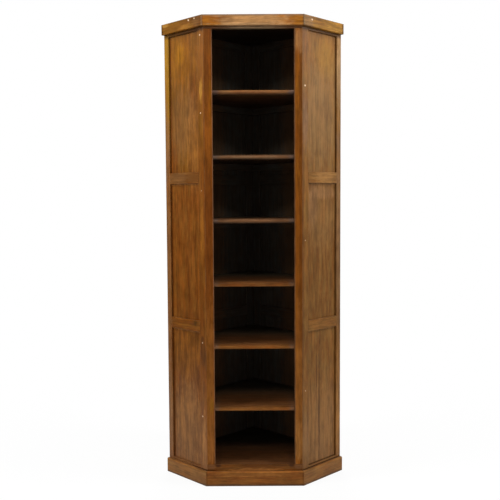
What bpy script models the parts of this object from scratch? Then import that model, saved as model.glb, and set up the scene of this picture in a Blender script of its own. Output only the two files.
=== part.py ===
"""Corner bookcase: a tall open case with a five-sided plan that stands in the corner of a room.

Two back walls meet at a right angle in the rear corner. Two narrow side walls stand square to them, and
an open front closes the plan at 45 degrees to all four. Every wall is a frame with three flat panels in
its grooves. A deck and six fixed shelves divide the case into seven compartments. A fascia and a plinth
run round the front and the two sides, mitred at the front corners.

The case's plan is drawn from the middle of its front face: X to the right, Y into the case, Z up from the
floor. Each wall's own plan runs along the wall's outer face (X), then into the case (Y).
"""

import math

import bmesh
import bpy
from mathutils import Vector

# Driving sizes, in metres: the height, the width of the front and the length of each side wall.
OVERALL_HEIGHT = 2.000
FACE_WIDTH = 0.412
SIDE_LENGTH = 0.2594

# Clearance between pieces that touch, and how far a cutting tool runs past the wood.
CLEARANCE = 0.0003
OVERRUN = 0.004

# Wall frames: stiles, rails and the panels in their grooves.
FRAME_THICKNESS = 0.020
SIDE_FRONT_STILE_WIDTH = 0.040
SIDE_REAR_STILE_WIDTH = 0.028
BACK_OUTER_STILE_WIDTH = 0.040
BACK_CORNER_STILE_WIDTH = 0.048
BOTTOM_RAIL_HEIGHT = 0.072
MID_RAIL_HEIGHT = 0.048
TOP_RAIL_HEIGHT = 0.0355
PANEL_RECESS = 0.008
PANEL_THICKNESS = 0.006
GROOVE_DEPTH = 0.008
ARRIS = 0.001

# Face of the case: two stiles between the deck and a top rail.
FACE_STILE_WIDTH = 0.0345
FACE_RAIL_HEIGHT = 0.0335

# Trim round the front and the sides.
FASCIA_THICKNESS = 0.015
FASCIA_HEIGHT = 0.0445
PLINTH_THICKNESS = 0.013
PLINTH_HEIGHT = 0.063
PLINTH_ROUND = 0.006
PLINTH_ROUND_STEPS = 3

# Boards that lie flat.
TOP_THICKNESS = 0.020
DECK_THICKNESS = 0.028
SHELF_THICKNESS = 0.020
SHELF_COUNT = 6
LOWEST_COMPARTMENT_HEIGHT = 0.2287
HIGHEST_COMPARTMENT_HEIGHT = 0.2847
HOUSING_DEPTH = 0.005
CLEAT_HEIGHT = 0.030
CLEAT_THICKNESS = 0.018

# The middle of each middle rail, as a share of the walls' height.
LOWER_MID_RAIL_SHARE = 0.348
UPPER_MID_RAIL_SHARE = 0.671

# The profile of a rounded edge: half way between hollow and square it is a quarter circle.
ROUND_PROFILE_SHARE = 0.5

# Angles of the plan.
FRONT_CORNER = math.radians(135)
SQUARE_CORNER = math.radians(90)

# How far a mitre at a front corner draws back for each metre of depth, and how far it stands off the
# corner's own line to leave the clearance between its two pieces.
MITRE_SHARE = 1 / math.tan(FRONT_CORNER / 2)
MITRE_CLEARANCE = CLEARANCE / (2 * math.sin(FRONT_CORNER / 2))
ROOT_TWO = math.sqrt(2)

# Plan sizes that follow: half widths at the face and at the outer corners, and how far back these lie.
HALF_FACE = FACE_WIDTH / 2
OUTER_CORNER_Y = SIDE_LENGTH / ROOT_TWO
HALF_BODY = HALF_FACE + OUTER_CORNER_Y
BACK_LENGTH = HALF_BODY * ROOT_TWO
REAR_CORNER_Y = OUTER_CORNER_Y + HALF_BODY
OVERALL_DEPTH = REAR_CORNER_Y + FASCIA_THICKNESS

# Heights that follow.
TOP_BOARD_Z = OVERALL_HEIGHT - TOP_THICKNESS
WALL_TOP_Z = TOP_BOARD_Z - CLEARANCE
DECK_Z = PLINTH_HEIGHT + CLEARANCE
DECK_TOP_Z = DECK_Z + DECK_THICKNESS
FACE_RAIL_Z = WALL_TOP_Z - FACE_RAIL_HEIGHT
FIRST_SHELF_Z = DECK_TOP_Z + LOWEST_COMPARTMENT_HEIGHT
LAST_SHELF_Z = TOP_BOARD_Z - HIGHEST_COMPARTMENT_HEIGHT - SHELF_THICKNESS
SHELF_PITCH = (LAST_SHELF_Z - FIRST_SHELF_Z) / (SHELF_COUNT - 1)

# Finishes: colour in linear light, then roughness. All of it is stained and varnished wood.
FINISHES = {
    "frame_wood": ((0.235, 0.088, 0.022), 0.38),
    "panel_wood": ((0.262, 0.106, 0.026), 0.40),
    "face_wood": ((0.205, 0.066, 0.014), 0.36),
    "trim_wood": ((0.270, 0.112, 0.030), 0.36),
    "shelf_wood": ((0.170, 0.064, 0.018), 0.42),
}


def clear_scene():
    for thing in list(bpy.data.objects):
        bpy.data.objects.remove(thing, do_unlink=True)


def make_finishes():
    finishes = {}
    for name, (colour, roughness) in FINISHES.items():
        material = bpy.data.materials.new(name)
        material.use_nodes = True
        shader = material.node_tree.nodes["Principled BSDF"]
        shader.inputs["Base Color"].default_value = (*colour, 1.0)
        shader.inputs["Roughness"].default_value = roughness
        shader.inputs["Metallic"].default_value = 0.0
        finishes[name] = material
    return finishes


def empty(name, parent, location, angle):
    """A point that pieces hang from: it sets where a wall starts and which way it runs."""
    point = bpy.data.objects.new(name, None)
    bpy.context.scene.collection.objects.link(point)
    point.parent = parent
    point.location = location
    point.rotation_euler = (0.0, 0.0, angle)
    return point


def slab(name, parent, outline, low, high, finish):
    """An object with this plan outline, from height low to height high."""
    mesh = bpy.data.meshes.new(name)
    shape = bmesh.new()
    corners = [shape.verts.new((x, y, 0.0)) for x, y in outline]
    base = shape.faces.new(corners)
    raised = bmesh.ops.extrude_face_region(shape, geom=[base])
    top = [part for part in raised["geom"] if isinstance(part, bmesh.types.BMVert)]
    bmesh.ops.translate(shape, verts=top, vec=Vector((0.0, 0.0, high - low)))
    bmesh.ops.recalc_face_normals(shape, faces=shape.faces)
    shape.to_mesh(mesh)
    shape.free()
    if finish is not None:
        mesh.materials.append(finish)
    board = bpy.data.objects.new(name, mesh)
    bpy.context.scene.collection.objects.link(board)
    board.parent = parent
    board.location = (0.0, 0.0, low)
    return board


def ease_edges(board, chosen, width, steps):
    """Rounds the straight edges of a board that the test picks by their two ends."""
    shape = bmesh.new()
    shape.from_mesh(board.data)
    edges = [edge for edge in shape.edges if chosen(edge.verts[0].co, edge.verts[1].co)]
    bmesh.ops.bevel(
        shape, geom=edges, offset=width, segments=steps, profile=ROUND_PROFILE_SHARE, affect="EDGES"
    )
    shape.to_mesh(board.data)
    shape.free()


def box_outline(x_low, x_high, y_low, y_high):
    return [(x_low, y_low), (x_high, y_low), (x_high, y_high), (x_low, y_high)]


def cut(board, cutter):
    """Takes a tool's shape out of a board. The tool stays in the file as a hidden guide."""
    cutter.hide_render = True
    cutter.display_type = "WIRE"
    modifier = board.modifiers.new(cutter.name, "BOOLEAN")
    modifier.operation = "DIFFERENCE"
    modifier.solver = "EXACT"
    modifier.object = cutter


def merged(first, others):
    """Puts the meshes of several tools into the first one, so that they cut as one."""
    shape = bmesh.new()
    for tool in [first, *others]:
        piece = tool.data.copy()
        piece.transform(tool.matrix_basis)
        shape.from_mesh(piece)
        bpy.data.meshes.remove(piece)
    shape.to_mesh(first.data)
    shape.free()
    first.location = (0.0, 0.0, 0.0)
    for tool in others:
        bpy.data.objects.remove(tool, do_unlink=True)
    return first


def panel_depths():
    """The outer and inner face of a panel, measured in from the wall's outer face."""
    return PANEL_RECESS, PANEL_RECESS + PANEL_THICKNESS


def groove_depths():
    outer, inner = panel_depths()
    return outer - CLEARANCE, inner + CLEARANCE


def make_stile(name, wall, edge_x, groove_x, mitred, finish):
    """An upright of a wall frame: its plain edge at edge_x, its grooved edge at groove_x."""
    way = 1 if groove_x > edge_x else -1
    width = abs(groove_x - edge_x)
    drawn_back = MITRE_SHARE * FRAME_THICKNESS if mitred else 0.0
    start = MITRE_CLEARANCE if mitred else 0.0
    outer, inner = groove_depths()
    bottom = width - GROOVE_DEPTH
    profile = [
        (start, 0.0),
        (width - ARRIS, 0.0),
        (width, ARRIS),
        (width, outer),
        (bottom, outer),
        (bottom, inner),
        (width, inner),
        (width, FRAME_THICKNESS - ARRIS),
        (width - ARRIS, FRAME_THICKNESS),
        (start + drawn_back, FRAME_THICKNESS),
    ]
    outline = [(edge_x + way * along, depth) for along, depth in profile]
    return slab(name, wall, outline, 0.0, WALL_TOP_Z, finish)


def make_rail(name, wall, x_low, x_high, low, high, groove_below, groove_above, finish):
    """A level member between two stiles, with a tongue at each end and a groove along each panel edge."""
    outer, inner = panel_depths()
    tongue = GROOVE_DEPTH - CLEARANCE
    outline = [
        (x_low, 0.0),
        (x_high, 0.0),
        (x_high, outer),
        (x_high + tongue, outer),
        (x_high + tongue, inner),
        (x_high, inner),
        (x_high, FRAME_THICKNESS),
        (x_low, FRAME_THICKNESS),
        (x_low, inner),
        (x_low - tongue, inner),
        (x_low - tongue, outer),
        (x_low, outer),
    ]
    rail = slab(name, wall, outline, low, high, finish)
    panel_edges = ([0.0] if groove_below else []) + ([high - low] if groove_above else [])

    def panel_arris(first, second):
        along_the_rail = abs(first.y - second.y) < CLEARANCE and abs(first.z - second.z) < CLEARANCE
        on_a_face = any(abs(first.y - face) < CLEARANCE for face in (0.0, FRAME_THICKNESS))
        beside_a_panel = any(abs(first.z - edge) < CLEARANCE for edge in panel_edges)
        return along_the_rail and on_a_face and beside_a_panel

    ease_edges(rail, panel_arris, ARRIS, 1)
    groove_outer, groove_inner = groove_depths()
    plough = box_outline(x_low - tongue - OVERRUN, x_high + tongue + OVERRUN, groove_outer, groove_inner)
    if groove_below:
        cut(rail, slab(name + "_groove_below", wall, plough, low - OVERRUN, low + GROOVE_DEPTH, None))
    if groove_above:
        cut(rail, slab(name + "_groove_above", wall, plough, high - GROOVE_DEPTH, high + OVERRUN, None))
    return rail


def rail_heights():
    """Name, lower edge and upper edge of each rail of a wall frame, from the floor up."""
    heights = [("bottom_rail", 0.0, BOTTOM_RAIL_HEIGHT)]
    for name, share in (("lower_mid_rail", LOWER_MID_RAIL_SHARE), ("upper_mid_rail", UPPER_MID_RAIL_SHARE)):
        middle = share * WALL_TOP_Z
        heights.append((name, middle - MID_RAIL_HEIGHT / 2, middle + MID_RAIL_HEIGHT / 2))
    heights.append(("top_rail", WALL_TOP_Z - TOP_RAIL_HEIGHT, WALL_TOP_Z))
    return heights


def fill_frame(name, wall, x_low, x_high, finishes):
    """The rails and panels between two stiles whose groove edges are at x_low and x_high."""
    rails = rail_heights()
    for index, (rail_name, low, high) in enumerate(rails):
        make_rail(
            f"{name}_{rail_name}",
            wall,
            x_low + CLEARANCE,
            x_high - CLEARANCE,
            low,
            high,
            index > 0,
            index < len(rails) - 1,
            finishes["frame_wood"],
        )
    reach = GROOVE_DEPTH - CLEARANCE
    outer, inner = panel_depths()
    outline = box_outline(x_low - reach, x_high + reach, outer, inner)
    for where, below, above in zip(("lower", "middle", "upper"), rails, rails[1:]):
        low = below[2] - reach
        high = above[1] + reach
        slab(f"{name}_{where}_panel", wall, outline, low, high, finishes["panel_wood"])


def board_levels():
    """Lower and upper face of the deck and of each shelf, from the floor up."""
    levels = [(DECK_Z, DECK_TOP_Z)]
    for index in range(SHELF_COUNT):
        low = FIRST_SHELF_Z + index * SHELF_PITCH
        levels.append((low, low + SHELF_THICKNESS))
    return levels


def cut_housings(stile, wall, x_low, x_high):
    """Cuts the shallow slots in a side stile's inner face that hold the deck and the shelves."""
    outline = box_outline(x_low, x_high, FRAME_THICKNESS - HOUSING_DEPTH, FRAME_THICKNESS + OVERRUN)
    tools = []
    for index, (low, high) in enumerate(board_levels()):
        tools.append(
            slab(f"{stile.name}_housing_{index}", wall, outline, low - CLEARANCE, high + CLEARANCE, None)
        )
    cut(stile, merged(tools[0], tools[1:]))


def make_side(name, wall, front_x, rear_x, finishes):
    """A side wall: its front stile is mitred to the face, its rear stile runs to the back of the case."""
    way = 1 if rear_x > front_x else -1
    front_groove = front_x + way * SIDE_FRONT_STILE_WIDTH
    rear_groove = rear_x - way * SIDE_REAR_STILE_WIDTH
    wood = finishes["frame_wood"]
    front = make_stile(f"{name}_front_stile", wall, front_x, front_groove, True, wood)
    rear = make_stile(f"{name}_rear_stile", wall, rear_x, rear_groove, False, wood)
    cut_housings(front, wall, *sorted((front_x - way * OVERRUN, front_groove + way * OVERRUN)))
    cut_housings(rear, wall, *sorted((rear_groove - way * OVERRUN, rear_x - way * FRAME_THICKNESS)))
    fill_frame(name, wall, *sorted((front_groove, rear_groove)), finishes)


def make_back(name, wall, outer_x, corner_x, corner_width, finishes):
    """A back wall between its outer edge and the rear corner, where its stile has this width."""
    way = 1 if corner_x > outer_x else -1
    outer_groove = outer_x + way * BACK_OUTER_STILE_WIDTH
    corner_groove = corner_x - way * corner_width
    wood = finishes["frame_wood"]
    make_stile(f"{name}_outer_stile", wall, outer_x, outer_groove, False, wood)
    make_stile(f"{name}_corner_stile", wall, corner_x, corner_groove, False, wood)
    fill_frame(name, wall, *sorted((outer_groove, corner_groove)), finishes)


def mitred_board(x_low, x_high):
    """Plan outline of a board of the face between two front corners, mitred at each of them."""
    drawn_back = MITRE_SHARE * FRAME_THICKNESS
    left = x_low + MITRE_CLEARANCE
    right = x_high - MITRE_CLEARANCE
    inner_edge = [(right - drawn_back, FRAME_THICKNESS), (left + drawn_back, FRAME_THICKNESS)]
    return [(left, 0.0), (right, 0.0), *inner_edge]


def make_face(front, finishes):
    """The two stiles and the top rail of the front, and the rail behind the plinth, under the deck."""
    wood = finishes["face_wood"]
    whole = mitred_board(0.0, FACE_WIDTH)
    slab("face_top_rail", front, whole, FACE_RAIL_Z, WALL_TOP_Z, wood)
    slab("base_rail", front, whole, 0.0, PLINTH_HEIGHT, wood)
    drawn_back = MITRE_SHARE * FRAME_THICKNESS
    profile = [
        (MITRE_CLEARANCE, 0.0),
        (FACE_STILE_WIDTH - ARRIS, 0.0),
        (FACE_STILE_WIDTH, ARRIS),
        (FACE_STILE_WIDTH, FRAME_THICKNESS),
        (MITRE_CLEARANCE + drawn_back, FRAME_THICKNESS),
    ]
    for name, edge_x, way in (("face_stile_left", 0.0, 1), ("face_stile_right", FACE_WIDTH, -1)):
        outline = [(edge_x + way * along, depth) for along, depth in profile]
        slab(name, front, outline, DECK_TOP_Z + CLEARANCE, FACE_RAIL_Z - CLEARANCE, wood)


def make_trim(name, place, thickness, low, high, finish):
    """A board on the outer face of a wall. A mitred end meets the next board at a front corner."""
    wall, length, mitred_low, mitred_high = place
    outer_run = MITRE_SHARE * thickness - MITRE_CLEARANCE
    inner_run = MITRE_SHARE * CLEARANCE - MITRE_CLEARANCE
    outline = [
        (-outer_run if mitred_low else 0.0, -thickness),
        (length + outer_run if mitred_high else length, -thickness),
        (length + inner_run if mitred_high else length, -CLEARANCE),
        (-inner_run if mitred_low else 0.0, -CLEARANCE),
    ]
    return slab(name, wall, outline, low, high, finish)


def outer_edge(thickness, height):
    """A test for the level edge of a trim board's outer face at this height above the board's foot."""

    def chosen(first, second):
        outside = all(abs(end.y + thickness) < CLEARANCE for end in (first, second))
        level = all(abs(end.z - height) < CLEARANCE for end in (first, second))
        return outside and level

    return chosen


def make_trims(walls, finishes):
    """The fascia round the top and the plinth round the foot: a board on the front and on each side."""
    places = {
        "front": (walls["front"], FACE_WIDTH, True, True),
        "right": (walls["side_right"], SIDE_LENGTH, True, False),
        "left": (walls["side_left"], SIDE_LENGTH, False, True),
    }
    wood = finishes["trim_wood"]
    fascia_low = OVERALL_HEIGHT - FASCIA_HEIGHT
    for where, place in places.items():
        fascia = make_trim(f"fascia_{where}", place, FASCIA_THICKNESS, fascia_low, OVERALL_HEIGHT, wood)
        ease_edges(fascia, outer_edge(FASCIA_THICKNESS, 0.0), ARRIS, 1)
        plinth = make_trim(f"plinth_{where}", place, PLINTH_THICKNESS, 0.0, PLINTH_HEIGHT, wood)
        ease_edges(plinth, outer_edge(PLINTH_THICKNESS, PLINTH_HEIGHT), PLINTH_ROUND, PLINTH_ROUND_STEPS)


def side_line(depth):
    """X minus Y, the same all along a line at this depth inside the right side's outer face."""
    return HALF_FACE - depth * ROOT_TWO


def back_line(depth):
    """X plus Y, the same all along a line at this depth inside the right back wall's outer face."""
    return REAR_CORNER_Y - depth * ROOT_TWO


def along_side(distance, depth):
    """The plan point this far along the right side from the front corner, this deep in from its face."""
    return HALF_FACE + (distance - depth) / ROOT_TWO, (distance + depth) / ROOT_TWO


def both_sides(right_half):
    """A whole outline from its right half, which runs from the front to the rear corner."""
    left_half = [(-x, y) for x, y in reversed(right_half) if x > CLEARANCE]
    return right_half + left_half


def housed_edge():
    """The right edge of a flat board: it steps out into the housings of the two side stiles."""
    housed = FRAME_THICKNESS - HOUSING_DEPTH + CLEARANCE
    plain = FRAME_THICKNESS + CLEARANCE
    front_end = SIDE_FRONT_STILE_WIDTH - CLEARANCE
    rear_start = SIDE_LENGTH - SIDE_REAR_STILE_WIDTH + CLEARANCE
    rear_end = SIDE_LENGTH - FRAME_THICKNESS - CLEARANCE
    return [
        along_side(front_end, housed),
        along_side(front_end, plain),
        along_side(rear_start, plain),
        along_side(rear_start, housed),
        along_side(rear_end, housed),
        (0.0, back_line(plain)),
    ]


def make_flat_boards(case, finishes):
    """The top, the deck and the six shelves."""
    wood = finishes["shelf_wood"]
    top = [(HALF_FACE, 0.0), (HALF_BODY, OUTER_CORNER_Y), (0.0, REAR_CORNER_Y)]
    slab("top_board", case, both_sides(top), TOP_BOARD_Z, OVERALL_HEIGHT, wood)

    housed = FRAME_THICKNESS - HOUSING_DEPTH + CLEARANCE
    corner_x = HALF_FACE - MITRE_CLEARANCE
    mitre_y = housed * ROOT_TWO / (1 + MITRE_SHARE)
    deck = [(corner_x, 0.0), (corner_x - MITRE_SHARE * mitre_y, mitre_y), *housed_edge()]
    levels = board_levels()
    slab("deck", case, both_sides(deck), *levels[0], wood)

    shelf_front = FRAME_THICKNESS + CLEARANCE
    shelf = [(side_line(housed) + shelf_front, shelf_front), *housed_edge()]

    def front_arris(first, second):
        at_the_front = all(abs(end.y - shelf_front) < CLEARANCE for end in (first, second))
        return at_the_front and first.z == second.z

    for index, (low, high) in enumerate(levels[1:], 1):
        board = slab(f"shelf_{index}", case, both_sides(shelf), low, high, wood)
        ease_edges(board, front_arris, ARRIS, 1)


def make_cleats(case, finishes):
    """Under each shelf, a batten along both back walls: two lengths glued together in the rear corner."""
    plain = FRAME_THICKNESS + CLEARANCE
    inside = plain + CLEAT_THICKNESS
    end_x = [(side_line(plain) + back_line(depth)) / 2 for depth in (plain, inside)]
    end_y = [(back_line(depth) - side_line(plain)) / 2 for depth in (plain, inside)]
    outline = [
        (0.0, back_line(inside)),
        (end_x[1], end_y[1]),
        (end_x[0], end_y[0]),
        (0.0, back_line(plain)),
        (-end_x[0], end_y[0]),
        (-end_x[1], end_y[1]),
    ]
    for index, (low, _) in enumerate(board_levels()[1:], 1):
        high = low - CLEARANCE
        slab(f"cleat_{index}", case, outline, high - CLEAT_HEIGHT, high, finishes["frame_wood"])


def main():
    clear_scene()
    finishes = make_finishes()
    case = empty("case", None, (0.0, FASCIA_THICKNESS - OVERALL_DEPTH / 2, 0.0), 0.0)
    turn = math.pi - FRONT_CORNER
    walls = {
        "front": empty("front", case, (-HALF_FACE, 0.0, 0.0), 0.0),
        "side_right": empty("side_right", case, (HALF_FACE, 0.0, 0.0), turn),
        "back_right": empty("back_right", case, (HALF_BODY, OUTER_CORNER_Y, 0.0), turn + SQUARE_CORNER),
        "back_left": empty("back_left", case, (0.0, REAR_CORNER_Y, 0.0), turn + 2 * SQUARE_CORNER),
        "side_left": empty("side_left", case, (-HALF_BODY, OUTER_CORNER_Y, 0.0), -turn),
    }
    make_side("side_right", walls["side_right"], 0.0, SIDE_LENGTH, finishes)
    make_side("side_left", walls["side_left"], SIDE_LENGTH, 0.0, finishes)
    butt = FRAME_THICKNESS + CLEARANCE
    lapping = BACK_CORNER_STILE_WIDTH + FRAME_THICKNESS
    lapped = BACK_CORNER_STILE_WIDTH
    make_back("back_right", walls["back_right"], butt, BACK_LENGTH, lapping, finishes)
    make_back("back_left", walls["back_left"], BACK_LENGTH - butt, butt, lapped, finishes)
    make_face(walls["front"], finishes)
    make_trims(walls, finishes)
    make_flat_boards(case, finishes)
    make_cleats(case, finishes)


main()
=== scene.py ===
"""Looks of a corner bookcase: softened boards, stained and varnished hardwood, filled nail holes,
the camera of the photograph and a plain white studio.

Every length is in metres. Z is up, the open front faces -Y, and the rear corner points to +Y.
"""

import math
import random

import bmesh
import bpy
from mathutils import Matrix, Vector, noise


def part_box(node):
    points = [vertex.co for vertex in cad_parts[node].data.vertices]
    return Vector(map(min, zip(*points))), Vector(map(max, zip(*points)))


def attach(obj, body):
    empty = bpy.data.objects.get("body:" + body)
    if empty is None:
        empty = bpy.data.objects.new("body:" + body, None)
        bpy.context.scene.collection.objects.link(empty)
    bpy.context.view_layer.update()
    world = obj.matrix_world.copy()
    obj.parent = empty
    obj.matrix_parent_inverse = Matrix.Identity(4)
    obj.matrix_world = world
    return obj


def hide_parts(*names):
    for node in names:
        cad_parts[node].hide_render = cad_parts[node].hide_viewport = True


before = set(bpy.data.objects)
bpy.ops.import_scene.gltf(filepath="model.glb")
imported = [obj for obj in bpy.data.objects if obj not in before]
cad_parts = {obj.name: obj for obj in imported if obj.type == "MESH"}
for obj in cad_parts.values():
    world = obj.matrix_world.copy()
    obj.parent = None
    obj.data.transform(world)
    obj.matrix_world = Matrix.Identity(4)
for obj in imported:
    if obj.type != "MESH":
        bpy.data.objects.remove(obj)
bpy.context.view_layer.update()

BODY = "root"

# Which way each wall runs, as an angle from X in degrees. Its depth runs 90 degrees to the left of that.
WALL_TURNS = {"front": 0, "side_right": 45, "back_right": 135, "back_left": 225, "side_left": 315}

UP = Vector((0.0, 0.0, 1.0))

# Softening of the boards: points closer than WELD are one, and faces that turn less than FLAT are one.
WELD = 0.00001
FLAT = math.radians(1)
SHARP = math.radians(30)
ARRIS_RADIUS = 0.0006
ARRIS_STEPS = 2
ROUND_STEPS = 6
ROUND_PROFILE = 0.5
SECTION_LENGTH = 0.025

# Round-overs along the face of the boards that have them: on the low or left arris, and on the other.
LEFT_FACE_STILE_ROUNDS = (0.0, 0.0035)
RIGHT_FACE_STILE_ROUNDS = (0.0035, 0.0)
TOP_RAIL_ROUNDS = (0.004, 0.0)
SHELF_ROUNDS = (0.0075, 0.0075)
DECK_ROUNDS = (0.0, 0.002)
FASCIA_ROUNDS = (0.0025, 0.001)
PLINTH_ROUNDS = (0.0, 0.006)

# Wear: how deep the arrises are rubbed away, how long the rubbed stretches are, and how rare.
RUBBED_DEPTH = 0.0005
RUBBED_LENGTH = 0.06
RUBBED_RARITY = 0.15

# How far the heart of the tree lay from a board, which sets the curve of its rings.
HEART_ACROSS = 0.06
HEART_BELOW = (0.05, 0.11)
HEART_ALONG = 40.0

# The joint between the two boards of the right wall's lower panel, from its front edge.
JOINTED_PANEL = "side_right_lower_panel"
PANEL_JOINT = 0.0895
PANEL_JOINT_WIDTH = 0.0024
PANEL_JOINT_DEPTH = 0.0014

# Filled nail holes: how far each lies from the front corner along its wall, its height and its radius.
LEFT_NAILS = (
    (0.0230, 1.9235, 0.0033),
    (0.0225, 1.5996, 0.0031),
    (0.0220, 1.2730, 0.0020),
    (0.0240, 0.6206, 0.0025),
    (0.0275, 0.2982, 0.0032),
)
RIGHT_NAILS = ((0.0180, 1.7115, 0.0044), (0.0195, 1.0598, 0.0025), (0.0190, 0.4093, 0.0026))
LEFT_FASCIA_NAILS = ((0.0776, 1.9900, 0.0042), (0.0402, 1.9920, 0.0034))
RIGHT_FASCIA_NAILS = ((0.0461, 1.9850, 0.0044),)
NAIL_CROWN = 0.0004
NAIL_SUNK = 0.0010
NAIL_SIDES = 20
NAIL_UNEVEN = (0.86, 1.14)
# The rings of a nail's filler, from its crown to its foot: share of its radius, and share of its crown.
NAIL_RINGS = ((0.35, 1.0), (0.75, 0.8), (1.0, 0.1), (1.0, -NAIL_SUNK / NAIL_CROWN))

# Where a side wall starts: its front corner, in X and Y, on the right of the front.
FRONT_CORNER = (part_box("face_stile_right")[1].x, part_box("face_stile_right")[0].y)

# Camera, fitted to the photograph's own edges.
FRAME_PIXELS = 500
FOCAL_PIXELS = 744.29
SENSOR_MILLIMETRES = 36.0
CAMERA_PLACE = (-0.0165, -3.42986, 1.23386)
CAMERA_PITCH = math.radians(3.862)
CAMERA_ROLL = math.radians(-0.3213)
FARTHEST_SEEN = 200.0


# Wood pieces


def wall_axes(wall):
    """Unit vectors along a wall and into the case."""
    turn = math.radians(WALL_TURNS[wall])
    return Vector((math.cos(turn), math.sin(turn), 0.0)), Vector((-math.sin(turn), math.cos(turn), 0.0))


def board_axes(wall, grain):
    """Turns a point of the room into a board's own: across the grain, through the board, along the grain."""
    run, inward = wall_axes(wall)
    rows = {"upright": (run, inward, UP), "level": (UP, inward, run), "flat": (inward, UP, run)}
    return Matrix(rows[grain])


def join_flat(shape):
    """Joins points that coincide, and triangles into whole flat faces."""
    bmesh.ops.remove_doubles(shape, verts=shape.verts, dist=WELD)
    bmesh.ops.dissolve_limit(shape, angle_limit=FLAT, verts=shape.verts, edges=shape.edges)


def whole_faces(node):
    """The solid of a node, with whole flat faces."""
    shape = bmesh.new()
    shape.from_mesh(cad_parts[node].data)
    join_flat(shape)
    return shape


def cut(shape, place, way, **settings):
    """Cuts a shape through with a plane."""
    everything = shape.verts[:] + shape.edges[:] + shape.faces[:]
    return bmesh.ops.bisect_plane(
        shape, geom=everything, plane_co=place, plane_no=way, dist=WELD, **settings
    )


def bevel(shape, edges, radius, steps):
    """Rounds some edges of a shape, and hands back the strips that this makes."""
    made = bmesh.ops.bevel(
        shape,
        geom=edges,
        offset=radius,
        offset_type="OFFSET",
        segments=steps,
        profile=ROUND_PROFILE,
        affect="EDGES",
        clamp_overlap=True,
    )
    return made["faces"]


def cut_in_sections(shape, along):
    """Rings of points every few centimetres along the grain, which wear can move."""
    places = [along.dot(point.co) for point in shape.verts]
    start, end = min(places), max(places)
    sections = max(1, round((end - start) / SECTION_LENGTH))
    for index in range(1, sections):
        cut(shape, along * (start + (end - start) * index / sections), along)


def face_arrises(shape, inward, along):
    """The long edges of the face that looks out of the case."""
    outermost = min(inward.dot(point.co) for point in shape.verts)
    found = []
    for edge in shape.edges:
        way = (edge.verts[1].co - edge.verts[0].co).normalized()
        outside = all(abs(inward.dot(end.co) - outermost) < WELD for end in edge.verts)
        if outside and abs(along.dot(way)) > math.cos(FLAT):
            found.append(edge)
    return found


def square_up(shape, inward, along, side):
    """Takes a board's plain chamfers and stepped rounds back to the square corner they were cut from."""
    corners = {}
    middle = sum(along.dot(point.co) for point in shape.verts) / len(shape.verts)
    for face in shape.faces:
        facing = -inward.dot(face.normal)
        if abs(along.dot(face.normal)) > math.sin(FLAT) or not math.sin(FLAT) < facing < math.cos(FLAT):
            continue
        for point in face.verts:
            corner = (side.dot(face.normal) > 0, along.dot(point.co) > middle)
            corners.setdefault(corner, set()).add(point)
    for (high, _), points in corners.items():
        outer = min(points, key=lambda point: inward.dot(point.co)).co.copy()
        reach = (max if high else min)(side.dot(point.co) for point in points)
        place = outer + side * (reach - side.dot(outer))
        for point in points:
            point.co = place
    join_flat(shape)


def round_over(shape, wall, grain, radii):
    """Rounds the long arrises on a board's face, each to its own radius."""
    run, inward = wall_axes(wall)
    side, along = (run, UP) if grain == "upright" else (UP, run)
    square_up(shape, inward, along, side)
    for high, radius in enumerate(radii):
        if not radius:
            continue
        arrises = face_arrises(shape, inward, along)
        places = [side.dot(edge.verts[0].co) for edge in arrises]
        middle = (min(places) + max(places)) / 2
        chosen = [edge for edge, place in zip(arrises, places) if (place > middle) == bool(high)]
        bevel(shape, chosen, radius, ROUND_STEPS)


def soften(shape):
    """Rounds every outward arris, and marks the rounded strips."""
    arris = shape.faces.layers.int.new("arris")
    sharp = [edge for edge in shape.edges if edge.is_convex and edge.calc_face_angle(0.0) > SHARP]
    for face in bevel(shape, sharp, ARRIS_RADIUS, ARRIS_STEPS):
        face[arris] = 1


def rub_down(shape, name):
    """Wears the marked arrises away unevenly."""
    arris = shape.faces.layers.int["arris"]
    shape.normal_update()
    seed = Vector((random.Random(name).uniform(0.0, HEART_ALONG), 0.0, 0.0))
    for point in shape.verts:
        if not any(face[arris] for face in point.link_faces):
            continue
        rub = noise.noise((point.co + seed) / RUBBED_LENGTH) - RUBBED_RARITY
        if rub > 0.0:
            point.co -= point.normal * rub * RUBBED_DEPTH
    bmesh.ops.remove_doubles(shape, verts=shape.verts, dist=WELD)
    bmesh.ops.dissolve_degenerate(shape, dist=WELD, edges=shape.edges)


def board_points(mesh, axes, name):
    """Stores each point's place in the board, which the grain follows, and the board's own tone."""
    draw = random.Random(name)
    across = draw.uniform(-HEART_ACROSS, HEART_ACROSS)
    below = draw.uniform(*HEART_BELOW)
    heart = Vector((across, below, draw.uniform(0.0, HEART_ALONG)))
    places = [axes @ point.co for point in mesh.vertices]
    middle = sum(places, Vector()) / len(places)
    middle.z = 0.0
    points = mesh.attributes.new("board_point", "FLOAT_VECTOR", "POINT")
    points.data.foreach_set("vector", [value for place in places for value in place - middle + heart])
    tone = mesh.attributes.new("board_tone", "FLOAT", "POINT")
    tone.data.foreach_set("value", [draw.random()] * len(places))


def add_object(name, data):
    """Puts a new object into the scene."""
    made = bpy.data.objects.new(name, data)
    bpy.context.scene.collection.objects.link(made)
    return made


def new_piece(name, shape, finish):
    """Makes an object of a finished shape."""
    mesh = bpy.data.meshes.new(name)
    shape.to_mesh(mesh)
    shape.free()
    mesh.shade_smooth()
    mesh.set_sharp_from_angle(angle=SHARP)
    mesh.materials.append(finish)
    return add_object(name, mesh)


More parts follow.
